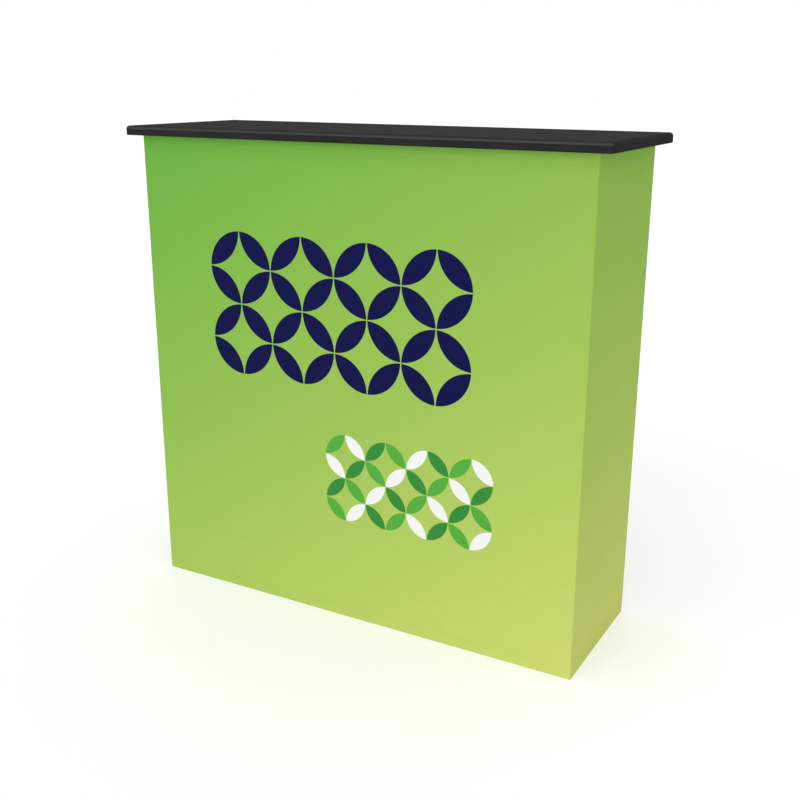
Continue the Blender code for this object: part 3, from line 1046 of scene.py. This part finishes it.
def held_out(point):
    """From 1 where a hub's plate holds the cloth out, down to 0 between hubs."""
    nearest = 0
    for place in hub_places.values():
        aside = max(abs(point.x - place.x) - plate_half_width, 0)
        above = max(abs(point.z - place.z) - plate_half_height, 0)
        nearest = max(nearest, 1 - math.hypot(aside, above) / cloth_sink_run)
    return nearest * nearest * (3 - 2 * nearest)


lay_print(cover)
for vertex in cover.data.vertices:
    point = vertex.co
    if point.y < cover_face + hair and abs(point.x) < cover_half_width - cover_corner - hair:
        point.y += cloth_sink * (1 - held_out(point))
    elif abs(point.x) > cover_half_width - hair:
        along_end = (point.y - cover_face) / cover_depth
        point.x -= math.copysign(cloth_sink * math.sin(math.pi * along_end) ** 2, point.x)
only(cover)
cloth = cover.modifiers.new("cloth", "SOLIDIFY")
cloth.thickness = cloth_thickness
cloth.offset = -1
cloth.use_even_offset = True
bpy.ops.object.modifier_apply(modifier=cloth.name)


def faces_inside(middle, way):
    """Whether a face of the cover looks inwards, to the frame."""
    at_front, at_back = middle.y < cover_face + cover_near, middle.y > cover_back - cover_near
    at_end = abs(middle.x) > cover_half_width - cover_corner
    from_front, from_back = at_front and way.y > 0.1, at_back and way.y < -0.1
    return from_front or from_back or (at_end and way.x * math.copysign(1, middle.x) < -0.1)


def in_taped_edge(middle):
    """Whether a place is in a hem or in the strip that turns in behind the back hubs."""
    if abs(middle.z - cover_height / 2) > cover_height / 2 - hem_width:
        return True
    return middle.y > cover_back - cover_near and abs(middle.x) < cover_half_width - cover_corner


pick(cover, "FACE", lambda middle, way: faces_inside(middle, way) and not in_taped_edge(middle))
cover_picked(cover, white_side)
pick(cover, "FACE", lambda middle, way: faces_inside(middle, way) and in_taped_edge(middle))
bpy.ops.mesh.extrude_region_shrink_fatten(TRANSFORM_OT_shrink_fatten={"value": hem_thickness})
bpy.ops.mesh.inset(thickness=tape_inset)
bpy.ops.mesh.extrude_region_shrink_fatten(TRANSFORM_OT_shrink_fatten={"value": tape_thickness})
cover_picked(cover, loop_tape)
leave_editing()
patches = []
for column_count in range(3):
    place = hub_places["front", column_count, 1]
    patch = block(
        "patch",
        (
            place.x - patch_half_width, cover_face + cloth_thickness - 0.0001,
            place.z - patch_half_height,
        ),
        (
            place.x + patch_half_width, cover_face + cloth_thickness + tape_thickness,
            place.z + patch_half_height,
        ),
        loop_tape,
    )
    lay_print(patch)
    patches.append(patch)
joined("fabric_cover", [cover, *patches])
only(cover)
bpy.ops.object.shade_smooth_by_angle(angle=math.radians(cloth_smooth_angle))

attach(cover, "hub_front_centre_bottom")
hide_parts("cover_front", "cover_end_left", "cover_end_right")
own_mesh(cover)


# Counter board
# A loose board, pressed in one piece with a charcoal laminate that wraps its rounded top edge
# and corners, and with a pale grey melamine sheet underneath that keeps it flat. Six strips of
# hook tape under it keep it in place on the top hubs.

board_low, board_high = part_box("counter_board")
board_corner = 0.008
board_round = 0.007
board_under_edge = 0.001
strip_half_length = 0.022
strip_half_width = 0.011
strip_thickness = 0.00025
strip_sunk_in = 0.0002
strip_corner = 0.003

charcoal, laminate = new_finish("charcoal_laminate")
board_where = put(charcoal, "ShaderNodeTexCoord", {}).outputs["Object"]
pebble = put(charcoal, "ShaderNodeTexVoronoi", {
    "Vector": board_where, "Scale": 850, "Randomness": 1,
})
haze = put(charcoal, "ShaderNodeTexNoise", {
    "Vector": board_where, "Scale": 14, "Detail": 6, "Roughness": 0.6,
})
flecks = put(charcoal, "ShaderNodeTexNoise", {"Vector": board_where, "Scale": 1300, "Detail": 2})
flecked = maths(charcoal, "MULTIPLY", flecks.outputs["Fac"], 0.4)
hazy = maths(charcoal, "MULTIPLY_ADD", haze.outputs["Fac"], 0.4, flecked)
lifted = maths(charcoal, "ADD", hazy, 0.25)
pebbled = maths(charcoal, "MULTIPLY_ADD", pebble.outputs["Distance"], -0.35, lifted)
board_tone = ramped(charcoal, pebbled, (0.30, painted(38, 38, 39)), (0.72, painted(53, 53, 54)))
board_place = put(charcoal, "ShaderNodeSeparateXYZ", {"Vector": board_where}).outputs
from_middle = maths(charcoal, "ABSOLUTE", board_place["Y"])
from_long_edge = maths(charcoal, "SUBTRACT", board_high.y, from_middle)
below_top = maths(charcoal, "SUBTRACT", board_high.z, board_place["Z"])
# Painted highlight: a paler line is painted along the rounded long edges, a few millimetres below
# the top, where a lamp's gleam would lie on the round.
wear_and_painted_highlight = ramped(
    charcoal, maths(charcoal, "DIVIDE", below_top, board_round),
    (0.10, (0, 0, 0, 1)), (0.55, (0.7, 0.7, 0.7, 1)), (0.80, (1, 1, 1, 1)), (0.98, (0, 0, 0, 1)),
)
on_long_edge = put(charcoal, "ShaderNodeMapRange", {
    "Value": from_long_edge, "From Min": board_round / 2, "From Max": board_corner,
    "To Min": 1, "To Max": 0,
}).outputs["Result"]
wear_and_painted_highlight = maths(charcoal, "MULTIPLY", wear_and_painted_highlight, on_long_edge)
board_colour = mixed(charcoal, wear_and_painted_highlight, board_tone, painted(74, 74, 75))
board_dull = put(charcoal, "ShaderNodeMapRange", {
    "Value": haze.outputs["Fac"], "To Min": 0.76, "To Max": 0.92,
})
board_bump = put(charcoal, "ShaderNodeBump", {
    "Height": pebble.outputs["Distance"], "Strength": 0.5, "Distance": 0.0001,
})
charcoal.node_tree.links.new(board_colour, laminate.inputs["Base Color"])
charcoal.node_tree.links.new(board_dull.outputs["Result"], laminate.inputs["Roughness"])
charcoal.node_tree.links.new(board_bump.outputs["Normal"], laminate.inputs["Normal"])
laminate.inputs["Specular IOR Level"].default_value = 0.02

backing = moulded_finish(
    "grey_melamine", painted(199, 198, 194), painted(206, 205, 202), 0.60, 1200, 0.3,
)

board = block("laminate_board", board_low, board_high, charcoal)
pick(board, "EDGE", lambda middle, way: abs(way.z) > straight)
bpy.ops.mesh.bevel(offset=board_corner, segments=8, affect="EDGES")
pick(board, "EDGE", lambda middle, way: middle.z > board_high.z - hair)
bpy.ops.mesh.bevel(offset=board_round, segments=8, affect="EDGES")
pick(board, "EDGE", lambda middle, way: middle.z < board_low.z + hair)
bpy.ops.mesh.bevel(offset=board_under_edge, segments=2, affect="EDGES")
pick(board, "FACE", lambda middle, way: way.z < -straight)
cover_picked(board, backing)
leave_editing()
shaded(board)
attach(board, "counter_board")
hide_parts("counter_board")

for side in ("front", "back"):
    for column_count, column in enumerate(column_names):
        place = hub_places[side, column_count, 2]
        strip = block(
            f"hook_strip_{side}_{column}",
            (
                place.x - strip_half_length, place.y - strip_half_width,
                board_low.z - strip_thickness,
            ),
            (
                place.x + strip_half_length, place.y + strip_half_width,
                board_low.z + strip_sunk_in,
            ),
            hook_tape,
        )
        round_off(strip, strip_corner, 4, lambda middle, way: abs(way.z) > straight)
        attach(strip, "counter_board")
